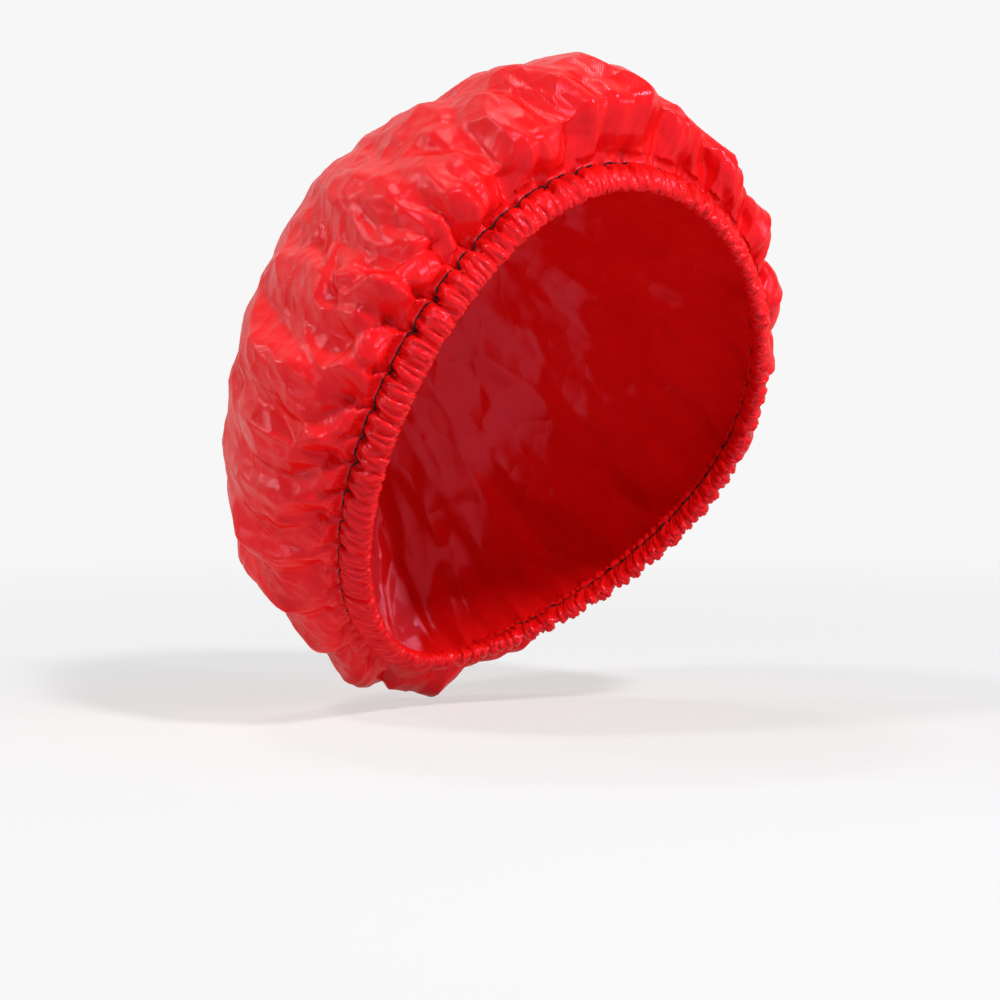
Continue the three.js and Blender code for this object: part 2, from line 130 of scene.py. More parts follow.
def back_share(turn):
    return (1 - np.cos(turn)) / 2


def lip_point(turn):
    width = OPENING_HALF_WIDTH * (1 - BACK_NARROWING_SHARE * back_share(turn) ** NARROWING_POWER)
    return opening_point(
        width * np.sin(turn), -OPENING_HALF_HEIGHT * np.cos(turn), -SIDE_DROP * np.sin(turn) ** 2
    )


def hem_frame(turn):
    """Along the lip, up the band, and out from the opening."""
    along = unit(lip_point(turn + HEM_FRAME_STEP) - lip_point(turn - HEM_FRAME_STEP))
    flat = unit(np.cross(along, INWARD))
    front = np.maximum(np.cos(turn), 0) ** 2
    back = np.maximum(-np.cos(turn), 0) ** 2
    lean = SIDE_LEAN_SHARE + (FRONT_LEAN_SHARE - SIDE_LEAN_SHARE) * front
    lean = (lean + (BACK_LEAN_SHARE - SIDE_LEAN_SHARE) * back)[..., None]
    up = flat * lean + INWARD * np.sqrt(1 - lean**2)
    up = unit(up - along * (up * along).sum(-1, keepdims=True))
    return along, up, np.cross(along, up)


def hem_point(turn, up, out):
    _, up_way, out_way = hem_frame(turn)
    up, out, _ = np.broadcast_arrays(up, out, turn)
    return lip_point(turn) + up[..., None] * up_way + out[..., None] * out_way


def crown_point(turn, share):
    """The crown's smooth form. share is 0 at its middle and 1 at the hem."""
    turn, share = np.broadcast_arrays(turn, share)
    centre = opening_point(0, -WIDEST_LINE_RISE, WIDEST_LINE_DEPTH)
    depth = opening_point(0, -CROWN_MIDDLE_RISE, CROWN_DEPTH) - centre
    back = back_share(turn)
    low = smooth((share - BOW_TOP_SHARE) / (TUCK_START_SHARE - BOW_TOP_SHARE))
    width = CROWN_HALF_WIDTH * (1 - CROWN_BACK_NARROWING_SHARE * back**NARROWING_POWER)
    reach = CROWN_FRONT_REACH + (CROWN_BACK_REACH - CROWN_FRONT_REACH) * back
    reach = reach + BAG_REACH * low * back**BAG_NARROWNESS
    bow = WIDEST_LINE_BOW * low * np.cos(turn) ** 2
    widest = opening_point(width * np.sin(turn), -reach * np.cos(turn), bow)

    angle = (math.pi / 2 * share / TUCK_START_SHARE)[..., None]
    upper = centre + widest * np.sin(angle) + depth * np.cos(angle)
    fall = unit(depth)
    inset = centre + widest - hem_point(turn, EDGE_RISE, EDGE_OUT)
    drop = (inset * fall).sum(-1, keepdims=True)
    inset = inset - drop * fall
    angle = (TUCK_ANGLE * (share - TUCK_START_SHARE) / (1 - TUCK_START_SHARE))[..., None]
    tuck = centre + widest - inset * (1 - np.cos(angle)) / (1 - math.cos(TUCK_ANGLE))
    tuck = tuck - drop * fall * np.sin(angle) / math.sin(TUCK_ANGLE)
    point = np.where((share <= TUCK_START_SHARE)[..., None], upper, tuck)

    outwards = unit(point - centre)
    degrees = np.abs(np.degrees(np.arctan2(np.sin(turn), np.cos(turn))))
    fade = smooth((1 - share) / SWELL_FADE_SHARE)
    for swell_degrees, swell_share, spread, spread_share, height in SWELLS:
        round_gap = ((degrees - swell_degrees) / spread) ** 2
        share_gap = ((share - swell_share) / spread_share) ** 2
        near = np.exp(-round_gap - share_gap)
        point = point + outwards * (height * fade * near)[..., None]
    return point


# The cloth is worked out on a grid: columns run round the cap, rows from the crown's middle to the
# hem's inner edge. A row's run is its distance from the stitch line along the cloth, more than 0 on
# the crown and less than 0 on the hem.
CROWN_RUN = 196 * MM  # from the stitch line to the crown's middle, the mean round the cap
OUTER_LEG = 13.6 * MM  # from the stitch line to the lip, over the elastic
INNER_LEG = 13.0 * MM  # from the lip back to the stitch line
ALLOWANCE = 3.0 * MM  # of the inner leg past the stitch line
LEG_GAP = 0.7 * MM  # between the two legs at the stitch line, middle to middle

# The band's section in millimetres: run, rise from the lip, way out from the elastic's line.
BAND_PROFILE = MM * np.array((
    (4.0, 15.2, 2.3), (1.6, 13.4, 1.1), (0.0, 12.0, 0.7), (-1.7, 10.6, 1.5),
    (-4.4, 8.2, 2.9), (-7.6, 5.0, 3.1), (-10.6, 2.2, 2.4), (-12.6, 0.5, 1.1),
    (-13.6, 0.0, 0.0), (-14.6, 0.4, -0.9), (-17.0, 2.6, -1.9), (-20.2, 5.8, -2.1),
    (-23.6, 9.2, -1.5), (-25.4, 10.9, -0.6), (-26.6, 12.0, 0.0), (-29.6, 15.0, -1.3),
))
LIP_STEPS = 3600  # in which the lip's length is measured
FORM_STEPS = 140  # of the crown's smooth form, from its middle to the hem


def lip_run():
    """Turns round the lip, and its length up to each of them."""
    turns = np.linspace(0, 2 * math.pi, LIP_STEPS + 1)
    steps = norms(np.diff(lip_point(turns), axis=0))
    return turns, np.concatenate([[0], np.cumsum(steps)])


def lip_turns(columns):
    """Turns that share the lip out evenly by its length."""
    turns, run = lip_run()
    return np.interp(np.arange(columns) / columns * run[-1], run, turns)


def main_folds(places, share):
    """How far the main folds stand out from the smooth form, at places round the lip."""
    valley, slant, reach, depth = np.array(FOLD_SHARES).T
    from_hem = 1 - share
    valley = valley + slant * from_hem
    gap = (np.roll(valley, -1) - valley) % 1
    left_side = valley % 1 < 0.5
    ridge = valley + gap * np.where(left_side, 1 - RIDGE_SIDE_SHARE, RIDGE_SIDE_SHARE)
    ridge_reach = (reach + np.roll(reach, -1)) / 2 + RIDGE_REACH_SHARE
    fall = -FOLD_DEPTH * depth * np.maximum(1 - from_hem / reach, 0) ** FOLD_FADE_POWER
    height = FOLD_HEIGHT * (depth + np.roll(depth, -1)) / 2
    height = height * np.maximum(1 - from_hem / ridge_reach, 0) ** FOLD_FADE_POWER
    turning_points = np.concatenate([valley, ridge])
    heights = np.interp(places, turning_points, np.concatenate([fall, height]), period=1)
    return smooth(from_hem / FOLD_START_SHARE) * heights


def base_form(columns, runs):
    """The cloth's smooth form and the height of its main folds, for each row and column."""
    turn = lip_turns(columns)
    shares = np.linspace(0, 1, FORM_STEPS + 1)
    crown = crown_point(turn[None, :], shares[:, None])
    stub = [hem_point(turn, up, out) for run, up, out in BAND_PROFILE if run >= 0]
    line = np.concatenate([crown, np.array(stub)])[::-1]
    heights = [main_folds(np.arange(columns) / columns, share) for share in shares]
    heights = np.concatenate([heights, np.zeros((len(stub), columns))])[::-1]
    steps = norms(np.diff(line, axis=0))
    along = np.concatenate([np.zeros((1, columns)), np.cumsum(steps, axis=0)])
    form = np.empty((len(runs), columns, 3))
    folds = np.zeros((len(runs), columns))
    on_crown = runs >= 0
    for i in range(columns):
        place = runs[on_crown] / CROWN_RUN * along[-1, i]
        folds[on_crown, i] = np.interp(place, along[:, i], heights[:, i])
        for k in range(3):
            form[on_crown, i, k] = np.interp(place, along[:, i], line[:, i, k])
    band = BAND_PROFILE[::-1]
    up, out = (np.interp(runs[~on_crown], band[:, 0], band[:, k])[:, None] for k in (1, 2))
    form[~on_crown] = hem_point(turn, up, out)
    return form, folds


# How the cloth is held: the run in millimetres; the cloth's girth over the smooth form's, used on the hem;
# the spare cloth over the folds' own length, used on the crown; how many millimetres it may stand out from
# the smooth form, and in; and the share of its way to the folds that each step draws it.
CLOTH_TABLE = np.array((
    (196, 1.00, 0.000, 1.0, 1.0, 0.040),
    (150, 1.00, -0.002, 4.0, 4.0, 0.040),
    (110, 1.00, -0.002, 6.0, 6.0, 0.040),
    (80, 1.00, -0.002, 7.5, 7.5, 0.040),
    (50, 1.00, 0.000, 8.5, 9.0, 0.040),
    (28, 1.00, 0.000, 8.0, 9.0, 0.045),
    (12, 1.00, 0.020, 6.0, 8.0, 0.045),
    (4, 1.00, 0.060, 4.0, 5.0, 0.045),
    (0.0, 1.35, 0.120, 1.8, 2.0, 0.045),
    (-2, 1.32, 0.0, 1.8, 1.5, 0.040),
    (-4.4, 1.35, 0.0, 1.9, 1.7, 0.035),
    (-9, 1.48, 0.0, 1.8, 1.7, 0.030),
    (-13.6, 1.62, 0.0, 1.1, 1.0, 0.020),
    (-16, 1.62, 0.0, 0.8, 0.3, 0.010),
    (-24, 1.50, 0.0, 0.8, 0.3, 0.010),
    (-26.6, 1.35, 0.0, 1.3, 1.6, 0.015),
    (-29.6, 1.35, 0.0, 1.0, 0.7, 0.010),
)) * (MM, 1, 1, MM, MM, 1)


def by_run(column):
    """A column of the cloth's table as a function of the run, read between the rows."""
    rows = CLOTH_TABLE[::-1]
    return lambda runs: np.interp(runs, rows[:, 0], rows[:, column])


girth_ratio, spare, out_limit, in_limit, hold = (by_run(column) for column in range(1, 6))
RUN_SLACK = 1.01  # of the cloth over the smooth form, from hem to middle, on the crown
FINEST_WAVE = 5  # columns in the narrowest fold that a grid can carry
CARRIED_SHARE = 0.97  # of the girth that such folds take up between the limits
# Of a diagonal's stretch, and of a bend across and along the columns, taken out in each step.
DIAGONAL_SHARE = 0.6
BEND_SHARE = 0.06
ROW_BEND_SHARE = 0.18
CREASE_BEND = 0.3  # shortening over two cells at which a bend starts to count as a crease and stays
LEAST_STEP_SHARE = 0.15  # of the smooth form's step between columns, so that folds never overhang
LEAST_LENGTH = 1e-9  # of a link
GLIDE = 0.75  # of the last step's movement that carries on into the next

# Grids from coarse to fine: columns, step between rows, reach from the stitch line, steps, whether the
# hem is worked out too, and the height of the first small waves.
GRIDS = (
    (128, 6.5 * MM, 196 * MM, 240, False, 0.6 * MM),
    (256, 3.4 * MM, 168 * MM, 180, False, 0.5 * MM),
    (512, 2.0 * MM, 124 * MM, 150, True, 0.2 * MM),
    (1024, 1.2 * MM, 48 * MM, 130, True, 0.12 * MM),
)
WAVE_SEED = 31
WAVE_ROWS = 6  # over which a small wave keeps its form
WAVE_SMOOTHINGS = 2
WAVE_TOP = 25 * MM  # the run where the small waves begin
WAVE_FADE = 20 * MM
HEM_TAKEOVER = 3 * MM  # below the stitch line, where the hem's first form goes over to its own folds


def row_at(runs, run):
    return np.argmin(np.abs(runs - run))


def column_pairs(columns, apart):
    """Slices that pair each column with the one apart columns on, and hold no column twice."""
    pairs = []
    period = 2 * apart
    for first in range(apart):
        pairs.append((slice(first, None, period), slice(first + apart, None, period)))
    for first in range(apart, period):
        pairs.append((slice(first, columns - apart, period), slice(first + apart, None, period)))
        last = columns - period + first
        pairs.append((slice(last, last + 1), slice(first - apart, first - apart + 1)))
    return pairs


def row_pairs(rows, apart):
    """The same for rows, which don't close into a ring."""
    pairs = []
    period = 2 * apart
    for first in range(period):
        count = len(range(first, rows - apart, period))
        if count:
            low = first + apart
            stop = first + (count - 1) * period + 1
            pairs.append((slice(first, stop, period), slice(low, stop + apart, period)))
    return pairs


def rest_lengths(form, aim, runs, ratio):
    """Lengths of the cloth's links: over the main folds on the crown, gathered on the hem."""
    spared = (1 + spare(runs))[:, None]
    on_hem = (runs < 0)[:, None]

    def apart(shape, rows, columns):
        moved = np.roll(shape, -columns, axis=1)
        return moved[rows:] - shape[:len(shape) - rows]

    across = np.where(on_hem, norms(apart(form, 0, 1)) * ratio, norms(apart(aim, 0, 1)) * spared)
    slack = np.where(runs[:-1, None] > 0, RUN_SLACK, 1.0)
    along = norms(apart(aim, 1, 0)) * slack
    two_across = np.where(on_hem, 2 * across, norms(apart(aim, 0, 2)) * spared)
    two_along = norms(apart(aim, 2, 0))
    side, rise = apart(form, 0, 1)[:-1], apart(form, 1, 0)
    skew = 2 * ratio[:-1] * (side * rise).sum(-1)
    square = (norms(side) * ratio[:-1]) ** 2 + norms(rise) ** 2
    falling = np.where(on_hem[:-1], np.sqrt(square + skew), norms(apart(aim, 1, 1)) * spared[:-1])
    back = np.roll(aim, -1, axis=1)[:-1] - aim[1:]
    rising = np.where(on_hem[:-1], np.sqrt(square - skew), norms(back) * spared[:-1])
    return across, along, falling, rising, two_across, two_along


def links(form, rests):
    """Every link: both ends' slices, rest length, share, order (a way and the least step on it), bends."""
    across, along, falling, rising, two_across, two_along = rests
    rows, columns = form.shape[:2]
    every = slice(None)
    across_way = unit(np.roll(form, -1, axis=1) - np.roll(form, 1, axis=1))
    result = []
    for a, b in column_pairs(columns, 1):
        least = LEAST_STEP_SHARE * norms(form[:, b] - form[:, a])
        result.append(((every, a), (every, b), across[:, a], 1.0, (across_way[:, a], least), False))
    along_way = unit(np.gradient(form, axis=0))
    for a, b in row_pairs(rows, 1):
        least = LEAST_STEP_SHARE * norms(form[b] - form[a])
        result.append(((a, every), (b, every), along[a], 1.0, (along_way[a], least), False))
    whole, first, last = slice(0, columns - 1), slice(0, 1), slice(columns - 1, columns)
    after = slice(1, columns)
    for a, b in row_pairs(rows, 1):
        for left, right in ((whole, after), (last, first)):
            result.append(((a, left), (b, right), falling[a][:, left], DIAGONAL_SHARE, None, False))
            result.append(((a, right), (b, left), rising[a][:, left], DIAGONAL_SHARE, None, False))
    for a, b in column_pairs(columns, 2):
        result.append(((every, a), (every, b), two_across[:, a], BEND_SHARE, None, True))
    for a, b in row_pairs(rows, 2):
        result.append(((a, every), (b, every), two_along[a], ROW_BEND_SHARE, None, True))
    return result


def pull(cloth, link):
    """Moves both ends of every pair towards their rest length, and keeps them in order."""
    end_a, end_b, rest, share, order, bends = link
    a, b = cloth[end_a], cloth[end_b]
    gap = b - a
    length = np.sqrt(np.einsum("...k,...k", gap, gap)) + LEAST_LENGTH
    amount = 0.5 * share * (length - rest) / length
    if bends:
        bent = np.maximum(1 - length / rest, 0)
        amount = np.minimum(amount, 0) / (1 + (bent / CREASE_BEND) ** 2)
    move = gap * amount[..., None]
    if order is not None:
        way, least = order
        gap = gap - 2 * move
        short = 0.5 * np.maximum(least - np.einsum("...k,...k", gap, way), 0)
        move = move - way * short[..., None]
    cloth[end_a] = a + move
    cloth[end_b] = b - move


def waves(rng, rows, columns, height):
    """Smooth chance waves, a few columns wide."""
    keys = max(rows // WAVE_ROWS, 1) + 2
    heights = rng.standard_normal((keys, columns))
    for _ in range(WAVE_SMOOTHINGS):
        heights = (np.roll(heights, 1, axis=1) + 2 * heights + np.roll(heights, -1, axis=1)) / 4
    place = np.arange(rows) / WAVE_ROWS
    low = place.astype(int)
    part = (place - low)[:, None]
    heights = heights[low] * (1 - part) + heights[low + 1] * part
    return height * heights / heights.std()


def way_out(form):
    """Out from the cloth's outer face, at each point of the smooth form."""
    across = np.roll(form, -1, axis=1) - np.roll(form, 1, axis=1)
    return unit(np.cross(np.gradient(form, axis=0), across))


def settle(form, runs, offset, guide, grid, rng):
    """Relaxes the cloth from an offset to the smooth form. The first row is held."""
    columns, _, _, steps, with_hem, wave_height = grid
    normal = way_out(form)
    aim = form + guide
    high, low = out_limit(runs)[:, None], -in_limit(runs)[:, None]
    wave = FINEST_WAVE * norms(np.roll(form, -1, axis=1) - form).mean(axis=1, keepdims=True)
    carried = np.sqrt(1 + (2 * (high - low) / wave) ** 2) * CARRIED_SHARE
    ratio = np.maximum(np.minimum(girth_ratio(runs)[:, None], carried), 1)
    ties = links(form, rest_lengths(form, aim, runs, ratio))
    strength = hold(runs)[:, None, None]
    stitch_row, inner_row = row_at(runs, 0), row_at(runs, -OUTER_LEG - INNER_LEG)
    near_hem = smooth((WAVE_TOP - runs[:, None]) / WAVE_FADE)
    small = waves(rng, len(runs), columns, wave_height) * near_hem
    cloth = form + offset + normal * small[..., None]
    held = (form + offset)[0].copy()
    before = cloth.copy()
    for _ in range(steps):
        moved = (cloth - before) * GLIDE
        before = cloth.copy()
        cloth += moved
        cloth += strength * (aim - cloth)
        for tie in ties:
            pull(cloth, tie)
        out = ((cloth - form) * normal).sum(-1)
        cloth += normal * (np.clip(out, low, high) - out)[..., None]
        cloth[0] = held
        if with_hem:
            face = normal[stitch_row] * LEG_GAP
            middle = (cloth[stitch_row] + cloth[inner_row] + face) / 2
            cloth[stitch_row] = middle
            cloth[inner_row] = middle - face
    return cloth


# The pinches in the stitch line between those of the main folds: place and slant as for the main folds,
# run of the upper end, which PINCH_REACH_SHARE lengthens, and depth, the last two in millimetres.
PINCHES = (
    (0.000, 0.00, 24, 2.6), (0.044, 0.02, 30, 3.0), (0.086, 0.00, 26, 3.0), (0.127, 0.03, 24, 2.8),
    (0.170, 0.05, 22, 3.0), (0.215, 0.05, 26, 3.2), (0.261, 0.05, 24, 3.0), (0.307, 0.05, 26, 3.4),
    (0.353, 0.05, 22, 3.0), (0.399, 0.04, 26, 3.2), (0.445, 0.02, 24, 3.0), (0.491, 0.00, 26, 3.2),
    (0.537, -0.03, 24, 3.0), (0.583, -0.05, 26, 3.2), (0.629, -0.07, 24, 3.0), (0.675, -0.09, 26, 3.4),
    (0.720, -0.12, 28, 4.6), (0.760, -0.14, 20, 2.6), (0.804, -0.15, 28, 3.2), (0.853, -0.15, 38, 5.4),
    (0.889, -0.12, 32, 5.0), (0.906, -0.10, 26, 3.4), (0.945, -0.06, 34, 4.0), (0.985, -0.02, 30, 3.6),
)
PINCH_REACH_SHARE = 1.5
MAIN_PINCH_REACH = 50  # mm, the upper end's run
MAIN_PINCH_DEPTH = 3.8  # mm, for a main fold whose depth has the share 1
PINCH_START_SHARE = 0.5  # of a pinch's depth, at the stitch line
PINCH_DEEPENING_SHARE = 0.12  # of a pinch's run, over which it comes to its full depth
PINCH_HALF_WIDTH = 5.5 * MM
PINCH_FOOT_SHARE = 0.35  # of the half width, at the stitch line
PINCH_SPREAD_SHARE = 2.4  # of the half width, gained over the whole run
PINCH_MOST_SHARE = 1.15  # of the half width
FRONT_WIDTH_SHARE = 1.6  # of a fold's half width, on its side towards the front
BACK_WIDTH_SHARE = 0.65
JOG_SHARE = 2.2  # of a pinch's depth, by which the stitch line sinks towards the lip
JOG_REACH = 5 * MM
FIELD_FALL = 4 * MM  # below the stitch line, over which pinches and crumples fade out
PUFF = 2.6 * MM  # of the cloth between the valleys, above the smooth form
PUFF_RISE = 5 * MM
PUFF_FADE_START = 24 * MM
PUFF_FADE = 60 * MM

# Long soft creases of the crown: place and run of the lower end, place and run of the upper end, height
# out from the smooth form, and half width. All but the places are in millimetres.
CREASES = (
    (0.915, 30, 0.885, 66, -2.6, 8), (0.975, 18, 0.962, 84, 2.4, 8), (0.955, 20, 0.938, 80, -2.4, 8),
    (0.832, 24, 0.800, 44, -2.4, 8), (0.800, 40, 0.822, 66, -2.2, 8), (0.862, 40, 0.828, 92, 2.4, 12),
    (0.760, 26, 0.725, 74, 2.2, 10), (0.700, 30, 0.668, 80, -2.0, 10), (0.610, 40, 0.590, 96, 2.2, 12),
    (0.490, 40, 0.482, 96, -2.0, 12), (0.365, 40, 0.392, 92, 2.2, 12), (0.250, 34, 0.284, 90, -2.2, 12),
    (0.140, 30, 0.160, 84, 2.2, 10), (0.040, 30, 0.046, 86, -2.2, 9),
)
CREASE_SWELL_POWER = 0.7

# The band's grooves in each gap between two pinches: place as a share of the gap, run below the stitch
# line where it starts, depth and half width, the last three in millimetres.
BAND_GROOVES = ((0.0, -4, 1.9, 2.0), (0.5, -3, 1.5, 1.7), (0.25, 4, 1.2, 1.1), (0.75, 5, 1.2, 1.1))
BAND_SEED = 11
GROOVE_JITTER = 0.08  # of the gap, at most
GROOVE_DEPTHS = (0.75, 1.25)  # shares of the depth between which each groove's lies
GROOVE_RISE = 4 * MM  # of run, from where a groove starts to its full depth
BAND_SLANT = 2.2 * MM  # at most, from the stitch line to the lip
BAND_PUFF = 0.9 * MM  # of the ridges, above the smooth form
BAND_RISE = 2 * MM
BAND_FADE_START = 15 * MM
BAND_FADE = 6 * MM

# Crumples of the crown, from large to small: cell size, and height out from the smooth form.
CRUMPLE_LAYERS = ((62 * MM, 10 * MM), (34 * MM, -9 * MM), (18 * MM, 5 * MM))
CRUMPLE_SEED = 7
CRUMPLE_TRIES = 4  # for each cell that the cut has room for
CRUMPLE_SPAN = 1.1  # of the crown's radius, strewn with cells
CRUMPLE_SPACING = 0.62  # of the cell size, at least between two middles
CRUMPLE_DRAW_SHARE = 0.72  # of the distance along the radius, squared, that isn't counted
CRUMPLE_MOST = 0.5
CRUMPLE_LOW = 0.2  # of the height, under the smooth form in a cell's middle
CRUMPLE_FADE = 30 * MM


def wrapped(shares):
    return (shares + 0.5) % 1 - 0.5


def from_line(shares, first, girths):
    """Distance from a line, given in shares of the lip's length: more than 0 towards the front."""
    return wrapped(shares) * girths[:, None] * (-1 if first < 0.5 else 1)


def crease(near, half_width, depth):
    """One fold across a line, from the signed distance to it."""
    ahead, behind = half_width * FRONT_WIDTH_SHARE, half_width * BACK_WIDTH_SHARE
    side = np.where(near > 0, near / ahead, -near / behind)
    return depth * np.maximum(1 - side, 0)


def pinch_field(runs, girths, columns):
    """How far the pinches and creases, and the puffs between them, stand out from the main folds."""
    place = (np.arange(columns) / columns)[None, :]
    field = np.zeros((len(runs), columns))
    pinches = [(first, slant, PINCH_REACH_SHARE * reach, depth) for first, slant, reach, depth in PINCHES]
    for first, slant, _, share in FOLD_SHARES:
        pinches.append((first, slant, MAIN_PINCH_REACH, MAIN_PINCH_DEPTH * share))
    for first, slant, reach, depth in pinches:
        part = np.clip(runs / (reach * MM), 0, 1)[:, None]
        near = from_line(place - first - slant * runs[:, None] / CROWN_RUN, first, girths)
        width_share = np.minimum(PINCH_FOOT_SHARE + PINCH_SPREAD_SHARE * part, PINCH_MOST_SHARE)
        deep = PINCH_START_SHARE + (1 - PINCH_START_SHARE) * smooth(part / PINCH_DEEPENING_SHARE)
        deep = depth * MM * deep * (1 - part) ** FOLD_FADE_POWER
        field = np.minimum(field, -crease(near, PINCH_HALF_WIDTH * width_share, deep))
    puff = PUFF * smooth(runs / PUFF_RISE) * (1 - smooth((runs - PUFF_FADE_START) / PUFF_FADE))
    field = field + puff[:, None]
    for first, low, last, high, height, half_width in CREASES:
        part = (runs / MM - low) / (high - low)
        swell = np.sin(math.pi * np.clip(part, 0, 1))[:, None] ** CREASE_SWELL_POWER
        near = from_line(place - first - (last - first) * part[:, None], first, girths)
        field = field + crease(near, half_width * MM, height * MM * swell)
    return field


def band_field(runs, girths, columns, rng):
    """How far the band's grooves, and the ridges between them, stand out from the smooth form."""
    place = (np.arange(columns) / columns)[None, :]
    below = -runs[:, None]
    field = np.zeros((len(runs), columns))
    firsts = np.sort([row[0] % 1 for row in (*PINCHES, *FOLD_SHARES)])
    gaps = (np.roll(firsts, -1) - firsts) % 1
    for first, gap in zip(firsts, gaps):
        for share, start, depth, half_width in BAND_GROOVES:
            jitter = rng.uniform(-GROOVE_JITTER, GROOVE_JITTER) * (share > 0)
            slant = rng.uniform(-1, 1) * BAND_SLANT * below / OUTER_LEG
            deep = depth * MM * rng.uniform(*GROOVE_DEPTHS) * smooth((below - start * MM) / GROOVE_RISE)
            near = wrapped(place - (first + gap * (share + jitter))) * girths[:, None] - slant
            field = np.minimum(field, -crease(near, half_width * MM, deep))
    on_band = smooth(below / BAND_RISE) * (1 - smooth((below - BAND_FADE_START) / BAND_FADE))
    return (field + BAND_PUFF) * on_band


def crumple_field(runs, columns, rng):
    """Facets between sharp creases, from cells strewn over the flat cut and drawn out along its radii."""
    angle = 2 * math.pi * np.arange(columns) / columns
    way = np.stack([np.cos(angle), np.sin(angle)], axis=-1)[None]
    flat = (CROWN_RUN - runs)[:, None, None] * way
    field = np.zeros((len(runs), columns))
    for size, height in CRUMPLE_LAYERS:
        tries = CRUMPLE_TRIES * round(math.pi * (CROWN_RUN / size) ** 2)
        middles = (rng.random_sample((tries, 2)) * 2 - 1) * CROWN_RUN * CRUMPLE_SPAN
        kept = [middles[0]]
        for middle in middles[1:]:
            if min(np.hypot(*(middle - other)) for other in kept) > CRUMPLE_SPACING * size:
                kept.append(middle)
        nearest = np.full(field.shape, np.inf)
        for middle in kept:
            gap = flat - middle
            along = (gap * way).sum(-1)
            nearest = np.minimum(nearest, (gap**2).sum(-1) - CRUMPLE_DRAW_SHARE * along**2)
        field += height * (np.minimum(nearest / size**2, CRUMPLE_MOST) - CRUMPLE_LOW)
    fade = smooth(runs / CRUMPLE_FADE) * smooth((CROWN_RUN - runs) / CRUMPLE_FADE)
    return field * fade[:, None]


def fold_guide(runs, form, folds, columns):
    """Where the folds draw the cloth, as an offset from the smooth form."""
    girths = norms(np.roll(form, -1, axis=1) - form).sum(axis=1)
    crown_runs = np.maximum(runs, 0)
    valleys = pinch_field(crown_runs, girths, columns)
    crumples = crumple_field(crown_runs, columns, np.random.RandomState(CRUMPLE_SEED))
    grooves = band_field(runs, girths, columns, np.random.RandomState(BAND_SEED))
    below = np.exp(np.minimum(runs, 0) / FIELD_FALL)[:, None]
    guide = way_out(form) * (folds + (valleys + crumples) * below + grooves)[..., None]
    up_way = -unit(np.gradient(form, axis=0))
    line = np.exp(-((runs / JOG_REACH) ** 2))[:, None]
    at_line = valleys[row_at(runs, 0)]
    jog = (at_line - at_line.mean()) * JOG_SHARE
    return guide + up_way * (line * jog[None, :])[..., None]


def grid_runs(step, reach, with_hem):
    """Rows from the highest run down to the stitch line, and round the hem if it is worked out."""
    crown = np.linspace(reach, 0, round(reach / step) + 1)
    if not with_hem:
        return crown
    legs = OUTER_LEG + INNER_LEG
    outer = np.linspace(0, -OUTER_LEG, round(OUTER_LEG / step) + 1)[1:]
    inner = np.linspace(-OUTER_LEG, -legs, round(INNER_LEG / step) + 1)[1:]
    allowance = np.linspace(-legs, -legs - ALLOWANCE, max(round(ALLOWANCE / step), 1) + 1)[1:]
    return np.concatenate([crown, outer, inner, allowance])


def between_columns(field):
    """A closed field of rows and columns, on twice as many columns."""
    after = np.roll(field, -1, axis=1)
    middle = (9 * (field + after) - np.roll(field, 1, axis=1) - np.roll(field, -2, axis=1)) / 16
    fine = np.empty((field.shape[0], 2 * field.shape[1], 3))
    fine[:, 0::2] = field
    fine[:, 1::2] = middle
    return fine


def between_rows(field, runs, new_runs):
    """A field read at other rows, straight between its own."""
    place = np.interp(new_runs, runs[::-1], np.arange(len(runs))[::-1])
    low = np.minimum(place.astype(int), len(runs) - 2)
    part = (place - low)[:, None, None]
    return field[low] * (1 - part) + field[low + 1] * part


def work_cloth():
    """Gathers the cloth grid by grid, and gives (runs, points, smooth form) of each."""
    rng = np.random.RandomState(WAVE_SEED)
    worked = []
    for grid in GRIDS:
        columns, step, reach, _, with_hem, _ = grid
        runs = grid_runs(step, reach, with_hem)
        form, folds = base_form(columns, runs)
        guide = fold_guide(runs, form, folds, columns)
        offset = guide
        if worked:
            last_runs, last_cloth, last_form = worked[-1]
            finer = between_columns(last_cloth - last_form)
            offset = between_rows(finer, last_runs, np.clip(runs, last_runs[-1], last_runs[0]))
            if with_hem and last_runs[-1] == 0:
                fade = np.exp(np.minimum(runs, 0) / HEM_TAKEOVER)[:, None, None]
                offset = offset * fade + guide * (1 - fade)
        worked.append((runs, settle(form, runs, offset, guide, grid, rng), form))
    return worked


CLOTH_HALF_THICKNESS = 0.14 * MM
RING_GAP_SHARE = 0.3  # of a grid's step between rows, at least between its rings and the next grid's
MIDDLE_GAP = 1 * MM  # between the last ring and the crown's middle
THINNED = ((186 * MM, 4), (178 * MM, 2))  # past this run, a ring keeps one point in so many

# Small sharp creases between facets: cell size, height, and the share of it that lies under the cloth.
SMALL_CREASES = ((18 * MM, 2.5 * MM, 0.35), (10 * MM, 0.9 * MM, 0.35))
CREASE_ROUND = 95 * MM  # beyond this radius of the cut they are drawn out along it
CREASE_DRAW_SHARE = 0.27
CREASE_MIDDLE_SHARE = 0.3  # of their height, in the crown's middle
CREASE_MIDDLE_RADIUS = 40 * MM
CREASE_GROWTH = 100 * MM  # of radius, from there to their full height
CREASE_HEM_GAP = 1 * MM  # between the last of them and the stitch line
CREASE_HEM_FADE = 7 * MM


